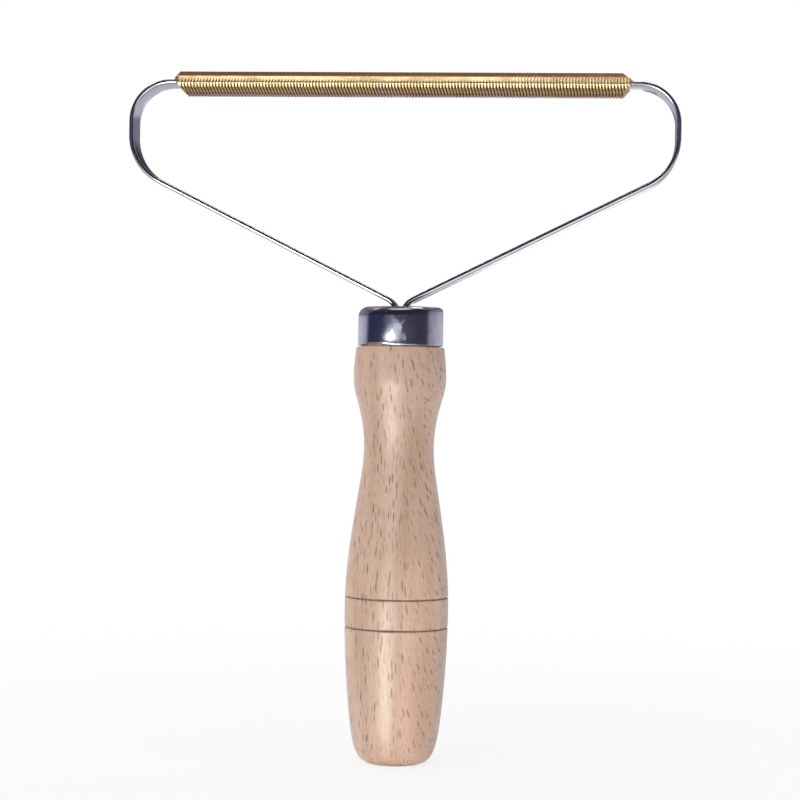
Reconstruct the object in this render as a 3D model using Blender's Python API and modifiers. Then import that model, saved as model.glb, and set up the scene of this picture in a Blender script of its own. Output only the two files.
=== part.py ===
"""Pet hair removal brush: turned beech handle, steel ferrule, bent strip frame and ribbed brass sleeve.

Metres, +Z up. The origin is the centre of the handle's flat end. The frame lies in the XZ plane, and the
front of the brush faces -Y.
"""

import math

import bmesh
import bpy
from mathutils import Vector

# Gap that pieces in contact keep, so that their meshes never share a face.
FIT = 0.0003
# How far a cutter reaches past what it cuts.
CUT_MARGIN = 0.002
# Points nearer to each other than this are one point.
WELD_DISTANCE = 0.000002

# Turned handle, from its flat end up to the shoulder that the ferrule stops on.
END_FLAT_RADIUS = 0.0062
END_ROUND_RADIUS = 0.01085
END_ROUND_HEIGHT = 0.0045
BELLY_RADIUS = 0.01377
BELLY_HEIGHT = 0.0417
NECK_RADIUS = 0.00928
NECK_ABOVE_BELLY = 0.0418
BULGE_RADIUS = 0.0123
BULGE_ABOVE_NECK = 0.0183
SHOULDER_RADIUS = 0.01168
SHOULDER_ABOVE_BULGE = 0.0086
SHOULDER_ROUND = 0.0003
# How fast the radius grows with the height where the end's rounding stops.
END_SLOPE = 0.30
# One point on each flank between those heights: its share of the flank's height, its share of the
# flank's change in radius, and its slope as a multiple of the flank's mean slope.
LOWER_FLANK_POINT = (0.19, 0.43, 1.43)
MIDDLE_FLANK_POINT = (0.73, 0.72, 1.48)
UPPER_FLANK_POINT = (0.62, 0.52, 1.67)
SHOULDER_SLOPE_MULTIPLE = 2.1

# Two burnt grooves round the belly, this far below its widest place and this far apart.
GROOVE_BELOW_BELLY = 0.0055
GROOVE_SPACING = 0.0080
GROOVE_WIDTH = 0.0008
GROOVE_DEPTH = 0.00035

# Drawn steel cap, pressed on the spigot at the handle's top.
FERRULE_RADIUS = 0.0113
FERRULE_HEIGHT = 0.0103
FERRULE_WALL = 0.0008
FERRULE_SHOULDER = 0.0026
FERRULE_RIM_ROUND = 0.0002

# Flat steel strip, and the loop that its centre line is bent to.
STRIP_WIDTH = 0.0096
STRIP_THICKNESS = 0.00128
STRIP_EDGE_ROUND = 0.0004
LOOP_HEIGHT = 0.0592
LOOP_CORNER_HEIGHT = 0.0365
TOP_BEND_RADIUS = 0.0104
SIDE_BEND_RADIUS = 0.0136
KNEE_BEND_RADIUS = 0.0050
KNEE_HEIGHT = 0.0008
TANG_GAP = 0.0003
TANG_DEPTH = 0.0310

# Brass sleeve on the loop's top side. Its section sits round the strip.
SLEEVE_LENGTH = 0.1210
SLEEVE_TO_BEND = 0.0016
SLEEVE_SIDE = 0.0018
SLEEVE_HALF_HEIGHT = 0.0031
SLEEVE_WALL = 0.0008
SLEEVE_LIP = 0.0012
SLEEVE_LIP_WALL = 0.00035
SLEEVE_MOUTH_DEPTH = 0.0025
RIDGE_PITCH = 0.000835
RIDGE_DEPTH = 0.00042
# The sleeve's ends are pressed to a blunt point at this height above the strip's middle, and draw back
# from there by these amounts for each metre up and down.
END_TIP_HEIGHT = 0.0003
END_SLANT_ABOVE = 0.55
END_SLANT_BELOW = 0.78
# The smooth lip between the ridges and the end's edge is longest at the tip. Over this height it fades
# to this share of its length.
LIP_FADE_HEIGHT = 0.0016
LIP_LEAST_SHARE = 0.15

# Cross pin through the spigot and both tangs.
PIN_RADIUS = 0.00125
PIN_INSET = 0.0003
PIN_END_ROUND = 0.0002

# Front half of the sleeve's section, from the top facet down to the bottom one. Each row has the depth and
# the height as shares of the half depth and the half height, and the share of the full ridge depth,
# because the sleeve is pressed smooth on top and keeps its ridges in front and below.
SLEEVE_SECTION = (
    (0.30, 1.00, 0.00),
    (0.78, 0.50, 0.00),
    (1.00, -0.11, 0.45),
    (0.94, -0.49, 1.00),
    (0.71, -0.83, 1.00),
    (0.32, -1.00, 1.00),
)
# Half width of the sleeve's flat top, inside, as a share of the strip's half width.
SLEEVE_CROWN = 0.38
# The ridge nearest to a lip ends this share of the pitch before it.
LAST_RIDGE_SHARE = 0.2
# How far in towards the strip the lip's rounding reaches before it slopes down.
LIP_ROUND_SHARE = 0.3

# Steps round the turned pieces and the pin, along each bend, and on the handle's flanks from the top down.
TURNING_STEPS = 40
FERRULE_STEPS = 48
PIN_SIDES = 24
BEND_STEPS = 12
ROUNDING_STEPS = 6
END_ROUNDING_STEPS = 8
FLANK_STEPS = (4, 4, 5, 4, 7, 9, 3)

# Places that follow from the sizes.
NECK_HEIGHT = BELLY_HEIGHT + NECK_ABOVE_BELLY
BULGE_HEIGHT = NECK_HEIGHT + BULGE_ABOVE_NECK
HANDLE_LENGTH = BULGE_HEIGHT + SHOULDER_ABOVE_BULGE
LOWER_GROOVE_HEIGHT = BELLY_HEIGHT - GROOVE_BELOW_BELLY
SPIGOT_RADIUS = FERRULE_RADIUS - FERRULE_WALL - FIT
FERRULE_BOTTOM = HANDLE_LENGTH + FIT
FERRULE_TOP = FERRULE_BOTTOM + FERRULE_HEIGHT
SPIGOT_TOP = FERRULE_TOP - FERRULE_WALL - FIT
SPIGOT_CHAMFER = FERRULE_SHOULDER - FERRULE_WALL - FIT
STRIP_TOP_HEIGHT = FERRULE_TOP + LOOP_HEIGHT
LOOP_HALF_WIDTH = SLEEVE_LENGTH / 2 + SLEEVE_TO_BEND + TOP_BEND_RADIUS
TANG_OFFSET = (STRIP_THICKNESS + TANG_GAP) / 2
TANG_END = FERRULE_TOP - TANG_DEPTH
PIN_HEIGHT = (HANDLE_LENGTH + SPIGOT_TOP) / 2
SLEEVE_HALF_DEPTH = STRIP_WIDTH / 2 + SLEEVE_SIDE


def clear_scene():
    for obj in list(bpy.data.objects):
        bpy.data.objects.remove(obj, do_unlink=True)


def new_collection(name):
    collection = bpy.data.collections.new(name)
    bpy.context.scene.collection.children.link(collection)
    return collection


def finish_material(name, colour, roughness, metallic):
    material = bpy.data.materials.new(name)
    material.use_nodes = True
    shader = material.node_tree.nodes["Principled BSDF"]
    shader.inputs["Base Color"].default_value = (*colour, 1)
    shader.inputs["Roughness"].default_value = roughness
    shader.inputs["Metallic"].default_value = metallic
    return material


def place(obj, collection, material=None):
    """Moves the object to its collection, and gives a part its material or marks a cutter as a helper."""
    for old in list(obj.users_collection):
        old.objects.unlink(obj)
    collection.objects.link(obj)
    if material:
        obj.data.materials.append(material)
    else:
        obj.hide_render = True
        obj.display_type = "WIRE"
    return obj


def smooth(obj, angle=math.radians(35)):
    obj.data.shade_smooth()
    obj.data.set_sharp_from_angle(angle=angle)


def cut(obj, cutter):
    modifier = obj.modifiers.new(cutter.name, "BOOLEAN")
    modifier.operation = "DIFFERENCE"
    modifier.solver = "EXACT"
    modifier.object = cutter


def turned(name, profile, steps, collection, material):
    """Turns a profile of (radius, height) points, listed down the outer side, about the Z axis."""
    mesh = bpy.data.meshes.new(name)
    edges = [(k, k + 1) for k in range(len(profile) - 1)]
    mesh.from_pydata([(radius, 0, height) for radius, height in profile], edges, [])
    obj = bpy.data.objects.new(name, mesh)
    place(obj, collection, material)
    screw = obj.modifiers.new("turn", "SCREW")
    screw.axis = "Z"
    screw.angle = math.tau
    screw.steps = steps
    screw.render_steps = steps
    screw.use_merge_vertices = True
    screw.merge_threshold = WELD_DISTANCE
    screw.use_smooth_shade = True
    return obj


def arc(centre, radii, start, end, steps):
    """Points on an elliptical arc from start to end, angles in degrees from the radius axis."""
    angles = [math.radians(start + (end - start) * k / steps) for k in range(steps + 1)]
    return [(centre[0] + radii[0] * math.cos(a), centre[1] + radii[1] * math.sin(a)) for a in angles]


def eased_corner(start, corner, end, steps):
    """Points on a smooth curve that leaves start towards the corner and comes to end from the corner."""
    points = []
    for k in range(steps + 1):
        t = k / steps
        weights = ((1 - t) ** 2, 2 * t * (1 - t), t * t)
        points.append(tuple(sum(w * p[i] for w, p in zip(weights, (start, corner, end))) for i in (0, 1)))
    return points


def flank(lower, upper, steps):
    """Points on a smooth cubic from the upper (height, radius, slope) knot to just above the lower one."""
    (low, low_radius, low_slope), (high, high_radius, high_slope) = lower, upper
    span = high - low
    points = []
    for k in range(steps):
        t = 1 - k / steps
        radius = (
            (1 + 2 * t) * (1 - t) ** 2 * low_radius
            + t * (1 - t) ** 2 * span * low_slope
            + t * t * (3 - 2 * t) * high_radius
            + t * t * (t - 1) * span * high_slope
        )
        points.append((radius, low + span * t))
    return points


def handle_knots():
    """The handle's swells and neck as (height, radius, slope), from the end's rounding up to the shoulder."""
    belly = (BELLY_HEIGHT, BELLY_RADIUS, 0.0)
    neck = (NECK_HEIGHT, NECK_RADIUS, 0.0)
    bulge = (BULGE_HEIGHT, BULGE_RADIUS, 0.0)
    end = (END_ROUND_HEIGHT, END_ROUND_RADIUS, END_SLOPE)
    shoulder_height = HANDLE_LENGTH - SHOULDER_ROUND
    fall = (SHOULDER_RADIUS - BULGE_RADIUS) / (shoulder_height - BULGE_HEIGHT)
    return (
        end,
        flank_point(end, belly, LOWER_FLANK_POINT),
        belly,
        flank_point(belly, neck, MIDDLE_FLANK_POINT),
        neck,
        flank_point(neck, bulge, UPPER_FLANK_POINT),
        bulge,
        (shoulder_height, SHOULDER_RADIUS, SHOULDER_SLOPE_MULTIPLE * fall),
    )


def flank_point(low, high, shares):
    height_share, radius_share, slope_multiple = shares
    span = high[0] - low[0]
    rise = high[1] - low[1]
    return (low[0] + height_share * span, low[1] + radius_share * rise, slope_multiple * rise / span)


def with_groove(profile, height):
    """The profile with a shallow V groove at this height."""
    half = GROOVE_WIDTH / 2

    def radius_at(level):
        for (r0, z0), (r1, z1) in zip(profile, profile[1:]):
            if z0 >= level >= z1 and z0 > z1:
                return r1 + (r0 - r1) * (level - z1) / (z0 - z1)
        raise ValueError("the groove lies off the handle")

    groove = [
        (radius_at(height + half), height + half),
        (radius_at(height) - GROOVE_DEPTH, height),
        (radius_at(height - half), height - half),
    ]
    above = [p for p in profile if p[1] > height + GROOVE_WIDTH]
    below = [p for p in profile if p[1] < height - GROOVE_WIDTH]
    return above + groove + below


def strip_path():
    """Centre line of the strip in the XZ plane, from the left tang's end over the loop to the right one's."""
    knee = (TANG_OFFSET, FERRULE_TOP + KNEE_HEIGHT)
    side = (LOOP_HALF_WIDTH, FERRULE_TOP + LOOP_CORNER_HEIGHT)
    top = (LOOP_HALF_WIDTH, STRIP_TOP_HEIGHT)
    right = [(0.0, STRIP_TOP_HEIGHT), top, side, knee, (TANG_OFFSET, TANG_END)]
    radii = [TOP_BEND_RADIUS, SIDE_BEND_RADIUS, KNEE_BEND_RADIUS]
    down = rounded_path(right, radii, BEND_STEPS)
    left = [(-x, z) for x, z in reversed(down[1:])]
    return left + down


def rounded_path(corners, radii, steps):
    """Follows the corners, with each inner corner replaced by an arc of its own radius."""
    points = [corners[0]]
    for before, corner, after, radius in zip(corners, corners[1:], corners[2:], radii):
        corner = Vector(corner)
        back = (Vector(before) - corner).normalized()
        ahead = (Vector(after) - corner).normalized()
        half_angle = back.angle(ahead) / 2
        centre = corner + (back + ahead).normalized() * (radius / math.sin(half_angle))
        start = corner + back * (radius / math.tan(half_angle)) - centre
        end = corner + ahead * (radius / math.tan(half_angle)) - centre
        turn = start.angle(end)
        for k in range(steps + 1):
            t = k / steps
            spoke = start * (math.sin((1 - t) * turn) / math.sin(turn))
            spoke += end * (math.sin(t * turn) / math.sin(turn))
            points.append(tuple(centre + spoke))
    points.append(corners[-1])
    return points


def leg_reach(level):
    """How far from the middle the right leg's outer face is at this level."""
    path = [Vector(p) for p in reversed(strip_path()) if p[0] > 0]
    faces = []
    for before, point, after in zip(path, path[1:], path[2:]):
        along = (after - before).normalized()
        faces.append(point + Vector((along.y, -along.x)) * (STRIP_THICKNESS / 2))
    for low, high in zip(faces, faces[1:]):
        if high.y >= level:
            share = max(0.0, (level - low.y) / (high.y - low.y))
            return low.x + share * (high.x - low.x)
    raise ValueError("the level lies above the loop")


def outline_solid(name, outline, half_depth, collection):
    """A solid with this (x, z) outline, which runs to half_depth in front of the XZ plane and behind it."""
    curve = bpy.data.curves.new(name, "CURVE")
    curve.dimensions = "2D"
    curve.fill_mode = "BOTH"
    curve.extrude = half_depth
    spline = curve.splines.new("POLY")
    spline.points.add(len(outline) - 1)
    for point, (x, z) in zip(spline.points, outline):
        point.co = (x, z, 0, 1)
    spline.use_cyclic_u = True
    drawn = bpy.data.objects.new(name + "_outline", curve)
    drawn.rotation_euler = (math.radians(90), 0, 0)
    bpy.context.scene.collection.objects.link(drawn)
    bpy.context.view_layer.update()
    graph = bpy.context.evaluated_depsgraph_get()
    mesh = bpy.data.meshes.new_from_object(drawn.evaluated_get(graph))
    welded = bmesh.new()
    welded.from_mesh(mesh)
    bmesh.ops.remove_doubles(welded, verts=welded.verts, dist=WELD_DISTANCE)
    bmesh.ops.recalc_face_normals(welded, faces=welded.faces)
    welded.to_mesh(mesh)
    welded.free()
    solid = bpy.data.objects.new(name, mesh)
    solid.matrix_world = drawn.matrix_world.copy()
    bpy.data.objects.remove(drawn, do_unlink=True)
    return place(solid, collection)


def make_pin_cutter(cutters):
    """A rod along the pin's axis, wider than the pin by the fit, which bores the spigot and both tangs."""
    bpy.ops.mesh.primitive_cylinder_add(
        vertices=PIN_SIDES,
        radius=PIN_RADIUS + FIT,
        depth=2 * (SPIGOT_RADIUS + CUT_MARGIN),
        location=(0, 0, PIN_HEIGHT),
        rotation=(0, math.radians(90), 0),
    )
    cutter = bpy.context.object
    cutter.name = "pin_bore"
    return place(cutter, cutters)


def make_mortise_cutter(cutters):
    """The slot that both tangs stand in. Its mouth opens out for the legs' knees."""
    slot = TANG_OFFSET + STRIP_THICKNESS / 2 + FIT
    mouth = leg_reach(SPIGOT_TOP) + FIT
    knee_end = FERRULE_TOP + KNEE_HEIGHT - KNEE_BEND_RADIUS
    above = SPIGOT_TOP + CUT_MARGIN
    below = TANG_END - FIT
    right = [(mouth, above), (mouth, SPIGOT_TOP), (slot, knee_end), (slot, below)]
    left = [(-x, z) for x, z in reversed(right)]
    return outline_solid("mortise", right + left, STRIP_WIDTH / 2 + FIT, cutters)


def make_handle(collection, cutters, material):
    """Turned beech with a spigot for the ferrule, a mortise for the tangs and a cross hole for the pin."""
    knots = handle_knots()
    profile = [
        (0.0, SPIGOT_TOP),
        (SPIGOT_RADIUS - SPIGOT_CHAMFER, SPIGOT_TOP),
        (SPIGOT_RADIUS, SPIGOT_TOP - SPIGOT_CHAMFER),
        (SPIGOT_RADIUS, HANDLE_LENGTH),
        (SHOULDER_RADIUS - SHOULDER_ROUND, HANDLE_LENGTH),
    ]
    for lower, upper, steps in zip(reversed(knots[:-1]), reversed(knots[1:]), FLANK_STEPS):
        profile += flank(lower, upper, steps)
    corner = (END_ROUND_RADIUS - END_SLOPE * END_ROUND_HEIGHT, 0.0)
    rounding_start = (END_ROUND_RADIUS, END_ROUND_HEIGHT)
    profile += eased_corner(rounding_start, corner, (END_FLAT_RADIUS, 0.0), END_ROUNDING_STEPS)
    profile.append((0.0, 0.0))
    for height in (LOWER_GROOVE_HEIGHT + GROOVE_SPACING, LOWER_GROOVE_HEIGHT):
        profile = with_groove(profile, height)
    handle = turned("wood_handle", profile, TURNING_STEPS, collection, material)
    cut(handle, make_mortise_cutter(cutters))
    cut(handle, bpy.data.objects["pin_bore"])
    return handle


def make_ferrule(collection, cutters, material):
    """A drawn cup, open below, with a slot in its top that both legs pass through."""
    inner_radius = FERRULE_RADIUS - FERRULE_WALL
    inner_shoulder = FERRULE_SHOULDER - FERRULE_WALL
    centre = (FERRULE_RADIUS - FERRULE_SHOULDER, FERRULE_TOP - FERRULE_SHOULDER)
    outer = arc(centre, (FERRULE_SHOULDER, FERRULE_SHOULDER), 90, 0, ROUNDING_STEPS)
    inner = arc(centre, (inner_shoulder, inner_shoulder), 0, 90, ROUNDING_STEPS)
    rim = [
        (FERRULE_RADIUS, FERRULE_BOTTOM + FERRULE_RIM_ROUND),
        (FERRULE_RADIUS - FERRULE_RIM_ROUND, FERRULE_BOTTOM),
        (inner_radius, FERRULE_BOTTOM),
    ]
    crown = [(0.0, FERRULE_TOP)]
    ceiling = [(0.0, FERRULE_TOP - FERRULE_WALL)]
    profile = crown + outer + rim + inner + ceiling
    ferrule = turned("steel_ferrule", profile, FERRULE_STEPS, collection, material)
    half_slot = leg_reach(FERRULE_TOP) + FIT
    bpy.ops.mesh.primitive_cube_add(size=1, location=(0, 0, FERRULE_TOP))
    slot = bpy.context.object
    slot.name = "leg_slot"
    slot.scale = (2 * half_slot, STRIP_WIDTH + 2 * FIT, 2 * (FERRULE_WALL + CUT_MARGIN))
    bpy.ops.object.transform_apply(location=False, rotation=False, scale=True)
    cut(ferrule, place(slot, cutters))
    return ferrule


def make_frame(collection, material):
    """One flat strip, bent to the loop and its two tangs, with rounded edges."""
    mesh = bpy.data.meshes.new("frame_strip")
    ribbon = bmesh.new()
    front = -STRIP_WIDTH / 2
    line = [ribbon.verts.new((x, front, z)) for x, z in strip_path()]
    edges = [ribbon.edges.new(pair) for pair in zip(line, line[1:])]
    swept = bmesh.ops.extrude_edge_only(ribbon, edges=edges)
    moved = [item for item in swept["geom"] if isinstance(item, bmesh.types.BMVert)]
    bmesh.ops.translate(ribbon, verts=moved, vec=(0, STRIP_WIDTH, 0))
    bmesh.ops.recalc_face_normals(ribbon, faces=ribbon.faces)
    ribbon.to_mesh(mesh)
    ribbon.free()
    frame = bpy.data.objects.new("frame_strip", mesh)
    place(frame, collection, material)
    wall = frame.modifiers.new("thickness", "SOLIDIFY")
    wall.thickness = STRIP_THICKNESS
    wall.offset = 0
    wall.use_even_offset = True
    edge = frame.modifiers.new("edge_round", "BEVEL")
    edge.width = STRIP_EDGE_ROUND
    edge.segments = 2
    edge.limit_method = "ANGLE"
    edge.angle_limit = math.radians(60)
    cut(frame, bpy.data.objects["pin_bore"])
    return frame


def draw_back(height):
    """How far the sleeve's end draws back from its tip at this height above or below the strip's middle."""
    above = height - END_TIP_HEIGHT
    return above * END_SLANT_ABOVE if above > 0 else -above * END_SLANT_BELOW


def lip_length(height):
    share = 1 - abs(height - END_TIP_HEIGHT) / LIP_FADE_HEIGHT
    return SLEEVE_LIP * max(share, LIP_LEAST_SHARE)


def whole_section(front_half):
    """The closed section as (y, z) points: the front half's, then the back half's from the bottom up."""
    return front_half + [(-y, z) for y, z in reversed(front_half)]


def crest_section():
    return whole_section([(-y * SLEEVE_HALF_DEPTH, z * SLEEVE_HALF_HEIGHT) for y, z, _ in SLEEVE_SECTION])


def valley_section():
    crest = [Vector(p) for p in crest_section()]
    shares = [row[2] for row in SLEEVE_SECTION]
    shares += reversed(shares)
    return [tuple(p - p.normalized() * RIDGE_DEPTH * share) for p, share in zip(crest, shares)]


def collar_section(margin):
    """The strip's outline with this margin all round, on as many points as the sleeve's section."""
    side = STRIP_WIDTH / 2 + margin
    flat = STRIP_THICKNESS / 2 + margin
    corner = STRIP_EDGE_ROUND / 2
    crown = SLEEVE_CROWN * STRIP_WIDTH / 2
    top = [(-crown, flat), (-side + corner, flat), (-side, END_TIP_HEIGHT)]
    bottom = [(-side, -flat + corner), (-side + corner, -flat), (-crown, -flat)]
    return whole_section(top + bottom)


def cavity_section():
    """The sleeve's inside between its mouths: it fits the strip's edges and stands clear of its faces."""
    side = STRIP_WIDTH / 2 + FIT
    flat = STRIP_THICKNESS / 2 + FIT
    crown = SLEEVE_CROWN * STRIP_WIDTH / 2
    rise = SLEEVE_HALF_HEIGHT - SLEEVE_WALL
    top = [(-crown, rise), (-side + STRIP_EDGE_ROUND, flat), (-side, flat - STRIP_EDGE_ROUND)]
    return whole_section(top + [(y, -z) for y, z in reversed(top)])


def lofted_end(outer, inner, share):
    """A ring of the right end's lip, this share of the way from the ridged section in to the collar."""
    points = [Vector(a).lerp(Vector(b), share) for a, b in zip(outer, inner)]
    half = SLEEVE_LENGTH / 2
    lips = [lip_length(z) * (1 - share) for _, z in outer]
    return [(half - draw_back(p.y) - lip, p.x, p.y) for p, lip in zip(points, lips)]


def ridged_rings():
    """Crest and valley rings along the sleeve, each cut short where the lips begin."""
    crest = crest_section()
    valley = valley_section()
    limits = [SLEEVE_LENGTH / 2 - draw_back(z) - lip_length(z) for _, z in crest]
    count = 2 * math.ceil(max(limits) / RIDGE_PITCH)
    for k in range(-count, count + 1):
        x = k * RIDGE_PITCH / 2
        ring = []
        for limit, high, low in zip(limits, crest, valley):
            beyond = abs(x) > limit - RIDGE_PITCH * LAST_RIDGE_SHARE
            ring.append((math.copysign(limit, x), *high) if beyond else (x, *(low if k % 2 else high)))
        yield ring


def sleeve_rings():
    """Rings of (x, y, z) points: from the left mouth over the ridges to the right one, and back inside."""
    crest = crest_section()
    lip = collar_section(FIT + SLEEVE_LIP_WALL)
    mouth = collar_section(FIT)
    inner = SLEEVE_LENGTH / 2 - SLEEVE_MOUTH_DEPTH
    right = [lofted_end(crest, lip, LIP_ROUND_SHARE), lofted_end(crest, lip, 1), lofted_end(mouth, mouth, 1)]
    right.append([(inner, y, z) for y, z in mouth])
    right.append([(inner - SLEEVE_MOUTH_DEPTH, y, z) for y, z in cavity_section()])
    left = [[(-x, y, z) for x, y, z in ring] for ring in reversed(right)]
    return left + list(ridged_rings()) + right


def make_sleeve(collection, material):
    """A ribbed tube round the strip. Its rings are lofted outside and inside, and close at both mouths."""
    mesh = bpy.data.meshes.new("brass_head")
    skin = bmesh.new()
    rings = [[skin.verts.new((x, y, z + STRIP_TOP_HEIGHT)) for x, y, z in ring] for ring in sleeve_rings()]
    for ring, following in zip(rings, rings[1:] + rings[:1]):
        count = len(ring)
        for k in range(count):
            after = (k + 1) % count
            skin.faces.new((ring[k], ring[after], following[after], following[k]))
    bmesh.ops.remove_doubles(skin, verts=skin.verts, dist=WELD_DISTANCE)
    bmesh.ops.recalc_face_normals(skin, faces=skin.faces)
    skin.to_mesh(mesh)
    skin.free()
    return place(bpy.data.objects.new("brass_head", mesh), collection, material)


def make_pin(collection, material):
    """A steel pin across the spigot and both tangs, whose ends the ferrule's skirt covers."""
    bpy.ops.mesh.primitive_cylinder_add(
        vertices=PIN_SIDES,
        radius=PIN_RADIUS,
        depth=2 * (SPIGOT_RADIUS - PIN_INSET),
        location=(0, 0, PIN_HEIGHT),
        rotation=(0, math.radians(90), 0),
    )
    pin = bpy.context.object
    pin.name = "tang_pin"
    place(pin, collection, material)
    rounding = pin.modifiers.new("end_round", "BEVEL")
    rounding.width = PIN_END_ROUND
    rounding.segments = 2
    rounding.limit_method = "ANGLE"
    rounding.angle_limit = math.radians(60)
    smooth(pin)
    return pin


def main():
    clear_scene()
    brush = new_collection("pet_hair_brush")
    cutters = new_collection("cutters")
    beech = finish_material("beech", (0.67, 0.46, 0.31), 0.5, 0.0)
    dark_steel = finish_material("polished_ferrule_steel", (0.35, 0.35, 0.42), 0.2, 1.0)
    strip_steel = finish_material("strip_steel", (0.55, 0.55, 0.60), 0.25, 1.0)
    brass = finish_material("brass", (0.80, 0.58, 0.26), 0.3, 1.0)
    pin_steel = finish_material("pin_steel", (0.50, 0.50, 0.52), 0.4, 1.0)
    make_pin_cutter(cutters)
    make_handle(brush, cutters, beech)
    make_ferrule(brush, cutters, dark_steel)
    make_frame(brush, strip_steel)
    make_sleeve(brush, brass)
    make_pin(brush, pin_steel)


main()
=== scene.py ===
"""Pet hair removal brush: finished pieces, materials, floor, lights and camera on the packed solids.

Metres, +Z up. The origin is the centre of the handle's flat end. The frame lies in the XZ plane, and the
front of the brush faces -Y.
"""

import math

import bmesh
import bpy
from bpy.props import FloatProperty, FloatVectorProperty, IntProperty, PointerProperty
from mathutils import Matrix, Vector


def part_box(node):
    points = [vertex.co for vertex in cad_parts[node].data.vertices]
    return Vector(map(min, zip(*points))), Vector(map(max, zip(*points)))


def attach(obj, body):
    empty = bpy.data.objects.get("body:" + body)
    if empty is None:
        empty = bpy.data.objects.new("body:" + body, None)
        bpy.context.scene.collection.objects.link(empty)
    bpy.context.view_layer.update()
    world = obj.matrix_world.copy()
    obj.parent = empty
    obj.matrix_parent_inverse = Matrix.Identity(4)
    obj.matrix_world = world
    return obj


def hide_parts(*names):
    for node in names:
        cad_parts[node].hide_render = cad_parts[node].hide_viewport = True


bl_info = {
    "name": "Pet Hair Brush",
    "version": (1, 0, 0),
    "blender": (4, 5, 0),
    "location": "View3D > Sidebar > Brush",
    "description": "Makes a turned handle, ferrule, bent strip and ribbed sleeve on the packed solids",
    "category": "Add Mesh",
}

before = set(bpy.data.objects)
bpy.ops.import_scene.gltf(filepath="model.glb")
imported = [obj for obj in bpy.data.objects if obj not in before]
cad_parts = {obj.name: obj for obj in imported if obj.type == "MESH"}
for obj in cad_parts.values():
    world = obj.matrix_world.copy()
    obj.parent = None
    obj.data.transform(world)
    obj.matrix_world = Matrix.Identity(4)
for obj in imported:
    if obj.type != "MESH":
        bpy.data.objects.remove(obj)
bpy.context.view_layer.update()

# Gap that pieces in contact keep.
FIT = 0.0003
# How far a cutter reaches past what it cuts.
CUT_MARGIN = 0.002
# Edges that turn by more than this stay crisp on a cut piece, and on the sleeve.
CUT_EDGE_ANGLE = math.radians(40)
SLEEVE_EDGE_ANGLE = math.radians(75)
# Points nearer to each other than this are one point.
WELD_DISTANCE = 0.000002
# How far rounding errors can move a point.
SLACK = 0.000001
# Where each solid lies, so that a finished piece starts from the solid that it stands for.
HANDLE_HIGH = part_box("wood_handle")[1]
FERRULE_LOW, FERRULE_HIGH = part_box("steel_ferrule")
STRIP_LOW, STRIP_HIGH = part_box("frame_strip")
SLEEVE_LOW, SLEEVE_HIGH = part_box("brass_head")


def length(label, value, about):
    """A size in metres that a user can set."""
    return FloatProperty(
        name=label, description=about, default=value, min=0.0, precision=5, unit="LENGTH", subtype="DISTANCE"
    )


def share(label, value, about, high=1.0):
    """A plain number that a user can set."""
    return FloatProperty(name=label, description=about, default=value, min=0.0, max=high, precision=3)


def colour(label, value, about):
    """A linear colour that a user can set."""
    return FloatVectorProperty(
        name=label, description=about, default=value, min=0.0, max=1.0, size=3, subtype="COLOR"
    )


def angle(label, degrees, about):
    """An angle that a user can set."""
    return FloatProperty(name=label, description=about, default=math.radians(degrees), subtype="ANGLE")


def count(label, value, about):
    """A number of steps that a user can set."""
    return IntProperty(name=label, description=about, default=value, min=2, max=512)


class HandleSettings(bpy.types.PropertyGroup):
    """Sizes and colours of the turned handle."""

    end_flat_radius: length("End flat radius", 0.0062, "Radius of the flat that stands on a table")
    end_round_radius: length("End round radius", 0.01085, "Radius where the end's rounding stops")
    end_round_height: length("End round height", 0.0045, "Height where the end's rounding stops")
    end_slope: share("End slope", 0.30, "Growth of the radius with the height there", 4.0)
    belly_radius: length("Belly radius", 0.01377, "Radius at the widest place")
    belly_height: length("Belly height", 0.0417, "Height of the widest place")
    neck_radius: length("Neck radius", 0.00928, "Radius at the narrowest place")
    neck_above_belly: length("Neck above belly", 0.0418, "Height of the neck above the belly")
    bulge_radius: length("Bulge radius", 0.0123, "Radius of the swell under the ferrule")
    bulge_above_neck: length("Bulge above neck", 0.0183, "Height of the swell above the neck")
    shoulder_radius: length("Shoulder radius", 0.01168, "Radius of the shoulder under the ferrule")
    shoulder_above_bulge: length("Shoulder above bulge", 0.0086, "Height of the shoulder above the swell")
    shoulder_round: length("Shoulder round", 0.0003, "Rounding of the shoulder's edge")
    groove_below_belly: length("Groove below belly", 0.0055, "Depth of the lower groove under the belly")
    groove_spacing: length("Groove spacing", 0.0080, "Distance between the burnt grooves")
    groove_width: length("Groove width", 0.0007, "Width of a burnt groove")
    groove_depth: length("Groove depth", 0.00028, "Depth of a burnt groove")
    turning_steps: count("Turning steps", 144, "Faces round the handle")
    pale_wood: colour("Pale wood", (0.68, 0.46, 0.335), "Beech between the growth bands")
    deep_wood: colour("Deep wood", (0.54, 0.345, 0.235), "Beech in the growth bands")
    fleck_brown: colour("Fleck brown", (0.19, 0.080, 0.030), "The dark ray flecks")
    burnt_brown: colour("Burnt brown", (0.16, 0.045, 0.028), "The burnt grooves")


class FerruleSettings(bpy.types.PropertyGroup):
    """Sizes and colours of the drawn steel ferrule."""

    radius: length("Radius", 0.0113, "Outer radius")
    wall: length("Wall", 0.0008, "Thickness of the steel")
    shoulder: length("Shoulder", 0.0026, "Radius of the drawn shoulder")
    rim_round: length("Rim round", 0.0002, "Rounding of the lower rim")
    square_shoulder: length("Square shoulder", 0.0012, "Radius of the shoulder on its right side")
    rim_lift: length("Rim lift", 0.0005, "How far the lower rim is bent up on its left front")
    rim_reach: length("Rim reach", 0.0016, "Height over which the bent rim straightens")
    turning_steps: count("Turning steps", 144, "Faces round the ferrule")
    steel: colour("Steel", (0.52, 0.52, 0.60), "Polished steel")


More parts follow.
